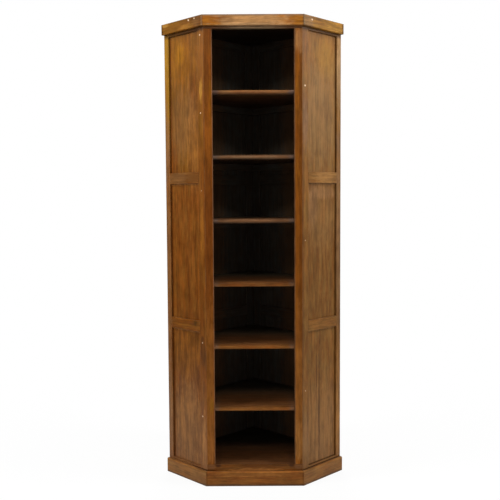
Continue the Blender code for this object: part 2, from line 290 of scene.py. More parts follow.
def wood_piece(name, node, shape, axes, finish):
    """Makes a board of a finished shape, in the place of its node."""
    piece = new_piece(name, shape, finish)
    board_points(piece.data, axes, name)
    weighted = piece.modifiers.new("flat_faces_first", "WEIGHTED_NORMAL")
    weighted.keep_sharp = True
    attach(piece, BODY)
    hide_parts(node)


def board(node, wall, grain, finish, rounds=None):
    """One board of the case, softened and worn."""
    axes = board_axes(wall, grain)
    shape = whole_faces(node)
    if node == JOINTED_PANEL:
        open_panel_joint(shape, wall)
    if rounds:
        round_over(shape, wall, grain, rounds)
    soften(shape)
    cut_in_sections(shape, axes[2])
    rub_down(shape, node)
    wood_piece("finished_" + node, node, shape, axes, finish)


def open_panel_joint(shape, wall):
    """The V-shaped line where two boards of a panel meet."""
    run, inward = wall_axes(wall)
    start = min(run.dot(point.co) for point in shape.verts)
    depths = [inward.dot(point.co) for point in shape.verts]
    middle = (min(depths) + max(depths)) / 2
    for shift in (-PANEL_JOINT_WIDTH / 2, 0.0, PANEL_JOINT_WIDTH / 2):
        cut(shape, run * (start + PANEL_JOINT + shift), run)
    for point in shape.verts:
        if abs(run.dot(point.co) - start - PANEL_JOINT) < WELD:
            way = 1 if inward.dot(point.co) < middle else -1
            point.co += inward * way * PANEL_JOINT_DEPTH


def cleat_halves(index, finish):
    """The two battens of a cleat, which meet in the rear corner."""
    node = f"cleat_{index}"
    for side, wall in ((1, "back_right"), (-1, "back_left")):
        shape = whole_faces(node)
        made = cut(shape, (0.0, 0.0, 0.0), (side, 0.0, 0.0), clear_inner=True)
        rim = [part for part in made["geom_cut"] if isinstance(part, bmesh.types.BMEdge)]
        bmesh.ops.contextual_create(shape, geom=rim)
        bmesh.ops.recalc_face_normals(shape, faces=shape.faces)
        axes = board_axes(wall, "level")
        name = f"{node}_{'right' if side > 0 else 'left'}"
        soften(shape)
        cut_in_sections(shape, axes[2])
        rub_down(shape, name)
        wood_piece(name, node, shape, axes, finish)


# Nodes of the materials


class Bench:
    """Lays out the nodes of one tree. Each call adds a node, feeds it and hands back its output."""

    def __init__(self, tree):
        self.tree = tree

    def add(self, kind, feeds=None, **settings):
        made = self.tree.nodes.new("ShaderNode" + kind)
        for name, value in settings.items():
            setattr(made, name, value)
        for socket, value in (feeds or {}).items():
            self.feed(made.inputs[socket], value)
        return made

    def feed(self, socket, value):
        if isinstance(value, bpy.types.NodeSocket):
            self.tree.links.new(value, socket)
        else:
            socket.default_value = value

    def math(self, operation, first, second=0.0, clamp=False):
        made = self.add("Math", {0: first, 1: second}, operation=operation, use_clamp=clamp)
        return made.outputs[0]

    def vector(self, operation, first, second):
        made = self.add("VectorMath", {0: first, 1: second}, operation=operation)
        return made.outputs["Value" if operation == "DOT_PRODUCT" else "Vector"]

    def length(self, vector):
        return self.add("VectorMath", {0: vector}, operation="LENGTH").outputs["Value"]

    def noise(self, point, across, along, detail, roughness, result="Fac"):
        """Noise from 0 to 1, with its waves for each metre across and along a board."""
        stretched = self.vector("MULTIPLY", point, (across, across, along))
        feeds = {"Vector": stretched, "Scale": 1.0, "Detail": detail, "Roughness": roughness}
        return self.add("TexNoise", feeds).outputs[result]

    def spread(self, value, low, high, to_low=0.0, to_high=1.0):
        """Stretches the values between low and high over a new range, with soft ends."""
        feeds = {"Value": value, "From Min": low, "From Max": high, "To Min": to_low, "To Max": to_high}
        return self.add("MapRange", feeds, interpolation_type="SMOOTHSTEP").outputs[0]

    def mix(self, share, first, second, blend="MIX"):
        made = self.add("Mix", {0: share, 6: first, 7: second}, data_type="RGBA", blend_type=blend)
        return made.outputs[2]

    def multiply(self, first, second):
        return self.mix(1.0, first, second, "MULTIPLY")

    def cover(self, colour, mask, share, over):
        """Lays another colour over the first one where the mask shows it, up to its share."""
        return self.mix(self.math("MULTIPLY", mask, share), colour, over)

    def group(self, name, feeds):
        """Adds one of the node groups that are made below."""
        return self.add("Group", feeds, node_tree=bpy.data.node_groups[name]).outputs


def new_group(name, vectors, numbers, outputs):
    """Makes a node group with named sockets, and gives the bench to fill it on and its sockets."""
    group = bpy.data.node_groups.new(name, "ShaderNodeTree")
    for title in vectors:
        group.interface.new_socket(name=title, in_out="INPUT", socket_type="NodeSocketVector")
    for title, value in numbers.items():
        socket = group.interface.new_socket(name=title, in_out="INPUT", socket_type="NodeSocketFloat")
        socket.default_value = value
    for title in outputs:
        group.interface.new_socket(name=title, in_out="OUTPUT", socket_type="NodeSocketFloat")
    given = group.nodes.new("NodeGroupInput").outputs
    results = group.nodes.new("NodeGroupOutput").inputs
    return Bench(group), given, results


# Noises of wood and filler: waves for each metre across and along a board, detail and roughness.
SWAY = (6.0, 2.2, 2.0, 0.5)
STREAKS = (130.0, 9.0, 5.0, 0.62)
BROAD_BANDS = (34.0, 5.0, 3.0, 0.55)
FIBRES = (420.0, 24.0, 3.0, 0.6)
CLOUDS = (26.0, 17.0, 4.0, 0.65)
PORES = (1300.0, 48.0, 1.0, 0.5)
HUES = (48.0, 13.0, 4.0, 0.65)
RUBBED_PATCHES = (30.0, 11.0, 3.0, 0.6)
CORNER_SHADE_PATCHES = (40.0, 6.0, 2.0, 0.5)
AGED_PATCHES = (24.0, 2.6, 3.0, 0.55)
RAGGED_RIMS = (160.0, 34.0, 4.0, 0.65)
SMEARS = (20.0, 5.0, 3.0, 0.6)
GRIT = (900.0, 900.0, 3.0, 0.6)

# The middle of every noise, and the part of a board's point that lies across and through the board.
NOISE_MIDDLE = 0.5
CROSSWISE = (1.0, 1.0, 0.0)

# The figure: how far it sways, how wide its rings are, how much each noise adds to it, and the spans of
# the noises that are stretched over the whole range from 0 to 1.
SWAY_REACH = (0.022, 0.022, 0.0)
RING_WIDTH = 0.011
RING_SHARE = 0.05
STREAK_SHARE = 0.40
BAND_SHARE = 0.14
FIBRE_SHARE = 0.16
CLOUD_SHARE = 0.25
FIBRE_RELIEF = 0.5
TONE_SPAN = (0.36, 0.64)
HUE_SPAN = (0.34, 0.66)
HUE_SHIFT = (0.31, 0.17, 0.0)
PORE_SPAN = (0.60, 0.70)

# Wear, which also paints highlights on the arrises, and painted shade in corners: how wide they are, the
# spans of turn, openness and noise over which they come and go, and how many rays look for them.
WEAR_AND_HIGHLIGHT_WIDTH = 0.003
WEAR_TURNS = (0.01, 0.16)
WEAR_SPAN = (0.30, 0.60)
CORNER_SHADE_REACH = 0.010
CORNER_SHADE_OPENNESS = (0.80, 0.30)
CORNER_SHADE_SPAN = (0.1, 0.6)
CORNER_SHADE_SHARES = (0.6, 1.0)
LIGHT_SAMPLES = 6

# Age and floor sheen: how far their rims drift up and outward, the heights and widths between which the gold
# comes in, its share near the middle and at the rear, and the heights between which the dust with painted
# floor sheen fades.
DRIFT_UP = 0.8
DRIFT_OUTWARD = 0.2
GOLD_HEIGHTS = (1.25, 1.75)
GOLD_WIDTHS = (0.20, 0.37)
GOLD_SHARES = (0.15, 1.0)
DUST_AND_SHEEN_HEIGHTS = (0.50, 0.0)

# Marks, smears, facings, and dust with painted shade far inside: the spans over which they come and go.
MARK_RAGGEDNESS = 2.0
MARK_RIM = (1.4, 0.5)
SMEAR_SPAN = (0.25, 0.75)
REARWARD_SPAN = (0.2, 0.6)
INWARD_DEPTHS = (0.12, 0.36)
LEVEL_SPAN = (0.95, 1.0)


def hardwood_grain():
    """Streaks, rings, fibres and pores of a board, and how red or golden each part of it is."""
    numbers = {"Ring Width": RING_WIDTH}
    outputs = ["Tone", "Hue", "Pores", "Relief"]
    bench, given, results = new_group("hardwood_grain", ["Board Point"], numbers, outputs)
    point = given["Board Point"]
    sway = bench.vector("SUBTRACT", bench.noise(point, *SWAY, result="Color"), [NOISE_MIDDLE] * 3)
    wavy = bench.vector("ADD", point, bench.vector("MULTIPLY", sway, SWAY_REACH))
    radius = bench.length(bench.vector("MULTIPLY", wavy, CROSSWISE))
    rings = bench.math("PINGPONG", bench.math("DIVIDE", radius, given["Ring Width"]), 1.0)
    streak = bench.noise(wavy, *STREAKS)
    band = bench.noise(wavy, *BROAD_BANDS)
    fibre = bench.noise(wavy, *FIBRES)
    cloud = bench.noise(point, *CLOUDS)
    pores = bench.spread(bench.noise(wavy, *PORES), *PORE_SPAN)
    mixed = bench.math("MULTIPLY", rings, RING_SHARE)
    shares = ((streak, STREAK_SHARE), (band, BAND_SHARE), (fibre, FIBRE_SHARE), (cloud, CLOUD_SHARE))
    for part, share in shares:
        mixed = bench.math("ADD", mixed, bench.math("MULTIPLY", part, share))
    bench.feed(results["Tone"], bench.spread(mixed, *TONE_SPAN))
    hue = bench.noise(bench.vector("ADD", wavy, HUE_SHIFT), *HUES)
    bench.feed(results["Hue"], bench.spread(hue, *HUE_SPAN))
    bench.feed(results["Pores"], pores)
    raised = bench.math("MULTIPLY", fibre, FIBRE_RELIEF)
    bench.feed(results["Relief"], bench.math("SUBTRACT", raised, pores))


def worn_and_highlit_arrises():
    """Edges worn by hands and cloths: wide pale patches on every arris, which also paint highlights there.
    """
    bench, given, results = new_group("worn_and_highlit_arrises", ["Board Point"], {"Width": WEAR_AND_HIGHLIGHT_WIDTH}, ["Wear"])
    rounded = bench.add("Bevel", {"Radius": given["Width"]}, samples=LIGHT_SAMPLES).outputs[0]
    flat = bench.add("NewGeometry").outputs["Normal"]
    turn = bench.math("SUBTRACT", 1.0, bench.vector("DOT_PRODUCT", rounded, flat))
    edge = bench.spread(turn, *WEAR_TURNS)
    patches = bench.spread(bench.noise(given["Board Point"], *RUBBED_PATCHES), *WEAR_SPAN)
    bench.feed(results["Wear"], bench.math("MULTIPLY", edge, patches))


def painted_corner_shade():
    """Painted shade in uneven patches in the corners between pieces, found by ambient occlusion."""
    bench, given, results = new_group("painted_corner_shade", ["Board Point"], {"Reach": CORNER_SHADE_REACH}, ["Dirt"])
    openness = bench.add("AmbientOcclusion", {"Distance": given["Reach"]}, samples=LIGHT_SAMPLES)
    closed = bench.spread(openness.outputs["AO"], *CORNER_SHADE_OPENNESS)
    patches = bench.noise(given["Board Point"], *CORNER_SHADE_PATCHES)
    patches = bench.spread(patches, *CORNER_SHADE_SPAN, *CORNER_SHADE_SHARES)
    bench.feed(results["Dirt"], bench.math("MULTIPLY", closed, patches))


def age_and_floor_sheen_by_place():
    """Golden stain high up near the rear corners, and near the floor a dusty grey with a painted floor
    sheen.
    """
    bench, given, results = new_group("age_and_floor_sheen_by_place", ["Board Point"], {}, ["Gold", "Grey"])
    place = bench.add("SeparateXYZ", {0: bench.add("TexCoord").outputs["Object"]}).outputs
    drift = bench.math("SUBTRACT", bench.noise(given["Board Point"], *AGED_PATCHES), NOISE_MIDDLE)
    height = bench.math("ADD", place["Z"], bench.math("MULTIPLY", drift, DRIFT_UP))
    outward = bench.math("ABSOLUTE", place["X"])
    outward = bench.math("ADD", outward, bench.math("MULTIPLY", drift, DRIFT_OUTWARD))
    high = bench.spread(height, *GOLD_HEIGHTS)
    near_the_rear = bench.spread(outward, *GOLD_WIDTHS, *GOLD_SHARES)
    bench.feed(results["Gold"], bench.math("MULTIPLY", high, near_the_rear))
    bench.feed(results["Grey"], bench.spread(height, *DUST_AND_SHEEN_HEIGHTS))


def case_place():
    """Where a point lies: from the front's middle, from a side wall's front corner, up and into the case."""
    outputs = ["Along Front", "Along Side", "Height", "Depth"]
    bench, _, results = new_group("case_place", [], {}, outputs)
    place = bench.add("SeparateXYZ", {0: bench.add("TexCoord").outputs["Object"]}).outputs
    across = bench.math("ABSOLUTE", place["X"])
    outward = bench.math("SUBTRACT", across, FRONT_CORNER[0])
    backward = bench.math("SUBTRACT", place["Y"], FRONT_CORNER[1])
    slant = math.cos(math.radians(WALL_TURNS["side_right"]))
    along_side = bench.math("MULTIPLY", bench.math("ADD", outward, backward), slant)
    bench.feed(results["Along Front"], across)
    bench.feed(results["Along Side"], along_side)
    bench.feed(results["Height"], place["Z"])
    bench.feed(results["Depth"], backward)


def soft_mark():
    """A patch with a soft and ragged rim, wherever its middle and its reach put it."""
    vectors = ["Board Point", "Place", "Middle", "Reach"]
    bench, given, results = new_group("soft_mark", vectors, {}, ["Mark"])
    away = bench.vector("SUBTRACT", given["Place"], given["Middle"])
    away = bench.length(bench.vector("DIVIDE", away, given["Reach"]))
    ragged = bench.noise(given["Board Point"], *RAGGED_RIMS)
    ragged = bench.math("SUBTRACT", ragged, NOISE_MIDDLE)
    away = bench.math("ADD", away, bench.math("MULTIPLY", ragged, MARK_RAGGEDNESS))
    bench.feed(results["Mark"], bench.spread(away, *MARK_RIM))


def varnish_smears():
    """Where the brush and later polishing left the varnish smoother or duller, from 0 to 1."""
    bench, given, results = new_group("varnish_smears", ["Board Point"], {}, ["Smears"])
    smears = bench.noise(given["Board Point"], *SMEARS)
    bench.feed(results["Smears"], bench.spread(smears, *SMEAR_SPAN))


def board_facing():
    """How far up a surface faces, from 0 for down to 1 for up, and which surfaces face the rear."""
    bench, _, results = new_group("board_facing", [], {}, ["Up", "Rearward"])
    way = bench.add("SeparateXYZ", {0: bench.add("NewGeometry").outputs["Normal"]}).outputs
    bench.feed(results["Up"], bench.math("MULTIPLY", bench.math("ADD", way["Z"], 1.0), 0.5))
    bench.feed(results["Rearward"], bench.spread(way["Y"], *REARWARD_SPAN))


def dust_and_inner_shade_on_tops():
    """Dusty level tops, with shares at the front and far inside, painted shade far in, and how far in they
    lie.
    """
    numbers = {"Depth": 0.0, "Front Share": 0.5, "Far Share": 0.5}
    bench, given, results = new_group("dust_and_inner_shade_on_tops", [], numbers, ["Dust", "Inward"])
    way = bench.add("SeparateXYZ", {0: bench.add("NewGeometry").outputs["Normal"]}).outputs
    inward = bench.spread(given["Depth"], *INWARD_DEPTHS)
    more = bench.math("SUBTRACT", given["Far Share"], given["Front Share"])
    share = bench.math("ADD", given["Front Share"], bench.math("MULTIPLY", inward, more))
    bench.feed(results["Dust"], bench.math("MULTIPLY", bench.spread(way["Z"], *LEVEL_SPAN), share))
    bench.feed(results["Inward"], inward)


for fill_group in (
    hardwood_grain,
    worn_and_highlit_arrises,
    painted_corner_shade,
    age_and_floor_sheen_by_place,
    case_place,
    soft_mark,
    varnish_smears,
    board_facing,
    dust_and_inner_shade_on_tops,
):
    fill_group()


# What a turn to red adds to the red, green and blue of a stain.
RED_SHARES = (0.05, -0.14, -0.30)


def linear(stain):
    """A colour as a screen shows it, from 0 to 255, turned by the sRGB curve into light for materials."""
    shares = [value / 255 for value in stain]
    return [share / 12.92 if share <= 0.04045 else ((share + 0.055) / 1.055) ** 2.4 for share in shares]


def shade(stain, light=1.0, red=0.0):
    """A stain made lighter or darker, and redder or more golden."""
    turns = [1 + share * red for share in RED_SHARES]
    return (*(light * turn * value for turn, value in zip(turns, linear(stain))), 1.0)


PLAIN = (255, 255, 255)
GOLD_STAIN = (168, 122, 30)
# Dust with a painted sheen of the floor, near the floor.
DUST_AND_FLOOR_SHEEN = (140, 100, 66)
DUSTY_TOP = (116, 77, 50)
# The colour of the tops far inside the case: painted shade.
INNER_SHADE_ON_TOPS = (76, 71, 57)
# Pale worn wood, which also paints highlights on the arrises.
RUBBED_WOOD_AND_HIGHLIGHT = (176, 132, 88)
# The colour of the painted shade in corners.
CORNER_SHADE_COLOUR = (52, 24, 7)
FILLER_DARK = (206, 166, 122)
FILLER_PALE = (240, 214, 180)

# What a finish shows where it doesn't say otherwise: how strong its figure is, how much gold it has, how
# much dust and painted floor sheen near the floor, how much dust on level tops at the front and far inside,
# where it also paints shade, how much rubbing, which also paints highlights on the arrises, how much painted
# shade in corners, the least and greatest roughness of its varnish, how much it shines, and whether its
# marks are placed along the front or along a side wall.
PLAIN_LOOK = dict(
    figure=0.8, gold=0.0, dust_and_painted_light=0.0, tops=(0.5, 0.5), rub=0.4, corner_shade=0.3, rough=(0.28, 0.40), shine=0.12,
    along="Along Side",
)

# What the shelves and the deck have in common, and what the side boards of the fascia have.
SHELF_LOOK = dict(tops=(0.5, 0.95), rough=(0.28, 0.42), along="Along Front")
SIDE_FASCIA_LOOK = dict(
    figure=1.3, gold=0.2, shine=0.10, painted_facing_light=((-1.0, 1.3), (0.0, 1.0), (0.3, 0.45), (1.0, 0.6)),
)

# Each finish. Painted facing light lightens or darkens it by the way it faces, from -1 for down to 1 for up.
# A stain for the outside is that of the faces which turn to the walls of the room.
FINISHES = {
    "left_frame": dict(stain=(123, 71, 21), gold=0.6, dust_and_painted_light=0.4, corner_shade=0.1),
    "left_panel": dict(stain=(120, 69, 21), figure=1.0, gold=0.2, dust_and_painted_light=0.4, rub=0.2, corner_shade=0.15),
    "right_frame": dict(stain=(126, 84, 38), gold=0.15, dust_and_painted_light=0.2, corner_shade=0.1, rough=(0.28, 0.42)),
    "right_panel": dict(stain=(126, 84, 38), gold=0.1, dust_and_painted_light=0.15, rub=0.2, corner_shade=0.15, rough=(0.28, 0.42)),
    "left_face": dict(stain=(126, 69, 18), shine=0.06, along="Along Front"),
    "right_face": dict(stain=(140, 80, 18), shine=0.06, along="Along Front"),
    # The top rail's stain is lighter to make up for the fascia's shadow: painted light.
    "top_face": dict(
        stain=(132, 92, 61), rub=0.3, shine=0.06, along="Along Front",
        painted_facing_light=((-1.0, 0.8), (-0.3, 0.8), (0.0, 0.9), (1.0, 0.9)),
    ),
    "left_fascia": SIDE_FASCIA_LOOK | dict(stain=(98, 56, 15)),
    "front_fascia": dict(
        stain=(166, 98, 16), figure=1.0, shine=0.10, along="Along Front",
        painted_facing_light=((-1.0, 1.2), (0.0, 1.0), (0.3, 0.5), (1.0, 0.6)),
    ),
    "right_fascia": SIDE_FASCIA_LOOK | dict(stain=(142, 96, 34)),
    "front_plinth": dict(
        stain=(142, 84, 30), figure=0.9, dust_and_painted_light=0.1, rub=0.3, corner_shade=0.0, shine=0.10, along="Along Front",
        painted_facing_light=((-1.0, 1.0), (0.05, 1.0), (0.3, 1.15), (1.0, 1.0)), tops=(0.0, 0.0),
    ),
    "side_plinth": dict(stain=(143, 93, 41), figure=1.0, dust_and_painted_light=0.2, shine=0.10),
    "top_shelf": SHELF_LOOK | dict(
        stain=(130, 86, 48), rub=0.6,
        painted_facing_light=((-1.0, 0.45), (-0.5, 0.35), (0.0, 1.0), (0.35, 1.6), (0.8, 1.2), (1.0, 0.8)),
    ),
    "upper_shelf": SHELF_LOOK | dict(
        stain=(118, 83, 54),
        painted_facing_light=((-1.0, 0.4), (-0.5, 0.5), (-0.1, 1.0), (0.15, 1.35), (0.45, 0.75), (0.8, 0.5), (1.0, 0.8)),
    ),
    "middle_shelf": SHELF_LOOK | dict(
        stain=(114, 68, 28), rub=0.3,
        painted_facing_light=((-1.0, 1.6), (-0.6, 2.3), (-0.2, 1.7), (0.0, 1.4), (0.3, 1.1), (0.6, 0.8), (1.0, 1.0)),
    ),
    "lower_shelf": SHELF_LOOK | dict(
        stain=(114, 68, 26), rub=0.3,
        painted_facing_light=((-1.0, 1.2), (-0.6, 1.6), (-0.2, 2.0), (0.1, 1.8), (0.4, 1.1), (0.8, 0.8), (1.0, 1.0)),
    ),
    "top_board": dict(
        stain=(96, 64, 38), figure=1.0, corner_shade=0.4, painted_facing_light=((-1.0, 0.3), (0.0, 1.0), (1.0, 1.0)),
    ),
    "deck": SHELF_LOOK | dict(
        stain=(114, 66, 20), tops=(0.6, 0.95), rub=0.0, corner_shade=0.0,
        painted_facing_light=((-1.0, 1.0), (0.0, 1.0), (0.3, 0.9), (1.0, 0.72)),
    ),
    # A greyer stain inside the case, which also paints part of the shade inside it.
    "inner": dict(
        stain=(93, 85, 74), outside=(104, 74, 46), figure=0.5, rub=0.35, corner_shade=0.4, rough=(0.45, 0.60),
        along="Along Front",
    ),
}

# The reach of a mark that runs the whole way up or along a piece.
ALL = 9.0

# Patches of each finish, many of them painted shadows and painted highlights: place along the wall, height,
# reach along, reach up, stain and share.
MARKS_AND_PAINTED_LIGHT = {
    "left_frame": (
        (0.0195, 1.693, 0.009, 0.046, (184, 130, 50), 0.8),
        (0.172, 1.331, 0.075, 0.03, (136, 94, 52), 0.7),
        (0.25, 0.9, 0.02, 0.6, (136, 98, 62), 0.5),
        (0.25, 0.3, 0.02, 0.2, (142, 104, 68), 0.5),
        (0.024, 0.636, 0.01, 0.013, (80, 46, 20), 0.5),
        (0.019, 0.19, 0.013, 0.12, (168, 114, 62), 0.75),
        (0.0682, 0.7006, 0.02, 0.015, (92, 56, 18), 0.5),
        (0.0682, 0.7006, 0.01, 0.009, (62, 42, 14), 0.6),
        # Painted shadow of the fascia under its edge, and painted shadow in the gap above the plinth.
        (0.13, 1.952, ALL, 0.014, (66, 38, 14), 0.8),
        (0.02, 0.064, 0.06, 0.0045, (54, 30, 12), 0.8),
        (0.25, 1.86, 0.02, 0.11, (158, 116, 34), 0.5),
        (0.25, 1.48, 0.02, 0.15, (128, 90, 60), 0.6),
        (0.022, 1.105, 0.012, 0.15, (150, 92, 28), 0.6),
        (0.022, 0.58, 0.02, 0.06, (88, 50, 18), 0.7),
        (0.075, 1.331, 0.045, 0.03, (136, 86, 38), 0.7),
        (0.0, 1.35, 0.0075, 0.5, (104, 54, 14), 0.7),
    ),
    "left_panel": (
        (0.14, 1.84, 0.08, 0.09, (143, 88, 14), 0.5),
        (0.165, 1.862, 0.03, 0.05, (156, 104, 16), 0.4),
        (0.0677, 1.432, 0.01, 0.027, (160, 100, 32), 0.8),
        (0.15, 1.56, 0.08, 0.16, (126, 88, 50), 0.55),
        (0.135, 0.24, 0.11, 0.19, (154, 106, 58), 0.65),
        (0.135, 0.56, 0.11, 0.1, (138, 84, 26), 0.6),
        # Painted shade beside the rear stile, and painted light under the mid rails that lightens their
        # shadows.
        (0.229, 1.0, 0.0065, ALL, (98, 48, 8), 0.75),
        (0.13, 1.302, ALL, 0.003, (176, 118, 64), 0.6),
        (0.13, 0.6625, ALL, 0.0045, (176, 116, 58), 0.8),
        (0.075, 1.48, 0.045, 0.17, (156, 102, 44), 0.5),
    ),
    "right_frame": (
        (0.0197, 1.56, 0.022, 0.11, (126, 94, 68), 0.6),
        (0.158, 1.335, 0.08, 0.03, (154, 110, 60), 0.8),
        (0.02, 1.89, 0.022, 0.06, (116, 72, 36), 0.5),
        (0.245, 1.8, 0.02, 0.17, (164, 127, 83), 0.85),
        (0.245, 1.48, 0.02, 0.05, (116, 84, 56), 0.6),
        (0.245, 1.1, 0.02, 0.5, (134, 102, 70), 0.5),
        (0.245, 0.32, 0.02, 0.3, (160, 110, 56), 0.75),
        (0.135, 0.689, 0.08, 0.03, (140, 92, 42), 0.6),
        # Painted shadow of the fascia under its edge, and painted shadow in the gap above the plinth.
        (0.13, 1.952, ALL, 0.012, (72, 44, 18), 0.7),
        (0.13, 0.0635, ALL, 0.0035, (50, 30, 14), 0.8),
        (0.025, 0.21, 0.03, 0.09, (150, 108, 66), 0.5),
        (0.0, 1.0, 0.0075, 0.7, (108, 62, 26), 0.7),
    ),
    "right_panel": (
        (0.13, 1.58, 0.13, 0.23, (132, 100, 62), 0.6),
        (0.1553, 1.85, 0.06, 0.08, (154, 110, 42), 0.5),
        (0.0787, 1.207, 0.032, 0.095, (134, 96, 66), 0.6),
        (0.1463, 1.19, 0.014, 0.075, (146, 94, 42), 0.7),
        (0.13, 0.24, 0.13, 0.18, (150, 106, 60), 0.6),
        (0.13, 1.15, 0.13, 0.14, (136, 98, 56), 0.5),
        # Painted shade beside the rear stile, and painted light under the mid rails that lightens their
        # shadows.
        (0.231, 1.0, 0.0045, ALL, (84, 44, 12), 0.7),
        (0.13, 1.302, ALL, 0.003, (180, 130, 80), 0.6),
        (0.13, 0.6625, ALL, 0.003, (170, 122, 66), 0.6),
        (0.1208, 0.3, 0.004, 0.36, (76, 46, 20), 0.8),
        (0.104, 0.49, 0.005, 0.08, (84, 48, 18), 0.7),
        # Painted shadow above the bottom rail, and painted light under the upper mid rail.
        (0.13, 0.0725, ALL, 0.005, (54, 34, 16), 0.7),
        (0.15, 1.265, 0.09, 0.028, (168, 122, 78), 0.5),
    ),
    "left_face": (
        (0.1975, 1.0, 0.0105, ALL, (110, 62, 20), 0.7),
        (0.179, 1.6, 0.008, 0.15, (132, 80, 12), 0.6),
        (0.189, 1.05, 0.025, 0.33, (112, 58, 20), 0.6),
        (0.189, 0.42, 0.025, 0.34, (146, 90, 38), 0.7),
        (0.189, 0.15, 0.02, 0.08, (158, 98, 44), 0.7),
        (0.185, 0.35, 0.01, 0.03, (142, 98, 20), 0.5),
        (0.189, 1.515, 0.025, 0.115, (154, 86, 26), 0.5),
        # Painted highlight on the inner arris, with worn wood.
        (0.1723, 1.0, 0.0022, ALL, (136, 96, 68), 0.7),
    ),
    "right_face": (
        (0.201, 1.0, 0.007, ALL, (110, 63, 22), 0.8),
        (0.189, 1.05, 0.025, 0.33, (126, 68, 20), 0.6),
        (0.189, 0.42, 0.025, 0.34, (154, 96, 42), 0.7),
        (0.189, 0.19, 0.02, 0.09, (176, 118, 58), 0.6),
        (0.189, 0.66, 0.025, 0.07, (122, 66, 22), 0.5),
        (0.189, 1.52, 0.025, 0.15, (110, 58, 16), 0.5),
        (0.189, 1.9, 0.025, 0.05, (176, 124, 74), 0.6),
        # Inner arris: a weak painted highlight, and painted shade on its very edge.
        (0.1735, 1.0, 0.0035, ALL, (104, 72, 48), 0.8),
        (0.17, 1.0, 0.0026, ALL, (34, 20, 12), 0.8),
    ),
    "top_face": (
        # Painted sheen along the middle of the top rail, and painted shadow of the fascia above it.
        (0.0, 1.96, 0.12, ALL, (178, 148, 112), 0.8),
        (0.1, 1.979, ALL, 0.012, (66, 34, 12), 0.8),
    ),
    "left_fascia": (
        (0.24, 1.992, 0.028, 0.008, (160, 120, 54), 0.5),
        (0.09, 1.966, 0.05, 0.01, (150, 104, 40), 0.5),
        (0.03, 1.98, 0.02, 0.03, (124, 84, 44), 0.5),
        (0.259, 1.98, 0.008, ALL, (60, 34, 14), 0.8),
        (-0.004, 1.98, 0.003, ALL, (150, 120, 84), 0.5),
    ),
    "front_fascia": (
        # Painted highlights: a light line along the lower arris, and a pale patch in the middle of the
        # fascia.
        (0.1, 1.954, ALL, 0.01, (186, 126, 60), 0.4),
        (0.02, 1.972, 0.125, 0.05, (190, 140, 86), 0.85),
        (0.02, 1.954, 0.125, 0.012, (204, 158, 110), 0.6),
        (0.1, 1.999, ALL, 0.006, (136, 104, 74), 0.7),
        (0.21, 1.976, 0.003, ALL, (104, 72, 44), 0.6),
    ),
    "right_fascia": (
        (0.025, 1.98, 0.03, ALL, (138, 102, 66), 0.6),
        (0.2, 1.976, 0.06, 0.02, (172, 124, 50), 0.6),
        (0.11, 1.988, 0.03, 0.01, (116, 76, 26), 0.5),
        (-0.004, 1.98, 0.004, ALL, (116, 96, 66), 0.6),
        (0.259, 1.98, 0.01, ALL, (76, 46, 18), 0.7),
    ),
    "front_plinth": (
        (0.1, 0.002, ALL, 0.007, (86, 66, 46), 0.7),
        (0.0, 0.051, 0.16, 0.009, (172, 110, 50), 0.7),
        (0.208, 0.03, 0.003, ALL, (70, 42, 18), 0.35),
    ),
    "side_plinth": ((0.1, 0.002, ALL, 0.007, (86, 66, 46), 0.6),),
    # Painted shade at the ends of each shelf, beside the stiles.
    "top_shelf": ((0.17, 1.69, 0.022, ALL, (98, 82, 76), 0.7),),
    "upper_shelf": ((0.17, 1.28, 0.02, ALL, (98, 84, 76), 0.6),),
    "middle_shelf": ((0.17, 0.6, 0.018, ALL, (98, 78, 62), 0.5),),
    "lower_shelf": ((0.17, 0.4, 0.018, ALL, (98, 78, 62), 0.5),),
    "deck": (
        # Painted light on the lower part of the deck's front edge.
        (0.0, 0.062, 0.105, 0.012, (186, 121, 58), 0.8),
        (0.0, 0.091, 0.2, 0.008, (84, 46, 10), 0.5),
        (0.19, 0.082, 0.02, 0.012, (124, 82, 48), 0.6),
        # Darker beside the stiles, and painted shadow where the deck meets the plinth.
        (0.159, 0.087, 0.012, 0.008, (46, 20, 6), 0.7),
        (0.195, 0.064, 0.03, 0.004, (66, 32, 10), 0.7),
    ),
    # Painted light: warmer and lighter beside the sides of the opening.
    "inner": ((0.2, 1.0, 0.06, ALL, (114, 85, 58), 0.9),),
}

# The finish of each shelf, from the lowest.
SHELF_FINISHES = ("lower_shelf", "lower_shelf", "middle_shelf", "upper_shelf", "upper_shelf", "top_shelf")

# How far each board's own tone may differ, how much lighter and redder the darkest and the lightest
# streaks of the figure are, and how red or golden the wood may turn.
OWN_TONE_SHARE = 0.20
FIGURE_SHADES = ((-0.45, 0.4), (0.50, -0.2))
TINT_RED = 0.5

# How strongly the figure shows in marks and on the outside, how much the pores show and how dark and red
# they are, what worn arrises and painted corner shade add to the roughness, and how strong and deep the
# relief is.
MARK_CONTRAST = 0.35
OUTSIDE_CONTRAST = 0.40
PORE_SHARE = 0.3
PORE_SHADE = (0.4, 0.4)
WORN_ROUGHNESS = 0.15
WOOD_RELIEF = 0.35
FILLER_RELIEF = 0.4
RELIEF_DEPTH = 0.0003
FILLER_SPAN = (0.3, 0.7)
FILLER_ROUGHNESS = (0.55, 0.75)


def new_finish(name):
    """A material with the bench for its nodes and its shader."""
    material = bpy.data.materials.new(name)
    material.use_nodes = True
    tree = material.node_tree
    return material, Bench(tree), tree.nodes["Principled BSDF"]


def painted_light_by_facing(bench, up, stops):
    """Painted light and shade by the way a finish faces, from the arris below to the arris above."""
    ramp = bench.add("ValToRGB", {0: up})
    elements = ramp.color_ramp.elements
    while len(elements) < len(stops):
        elements.new(1.0)
    for element, (facing, tone) in zip(elements, stops):
        element.position = (facing + 1) / 2
        element.color = (tone, tone, tone, 1.0)
    return ramp.outputs["Color"]


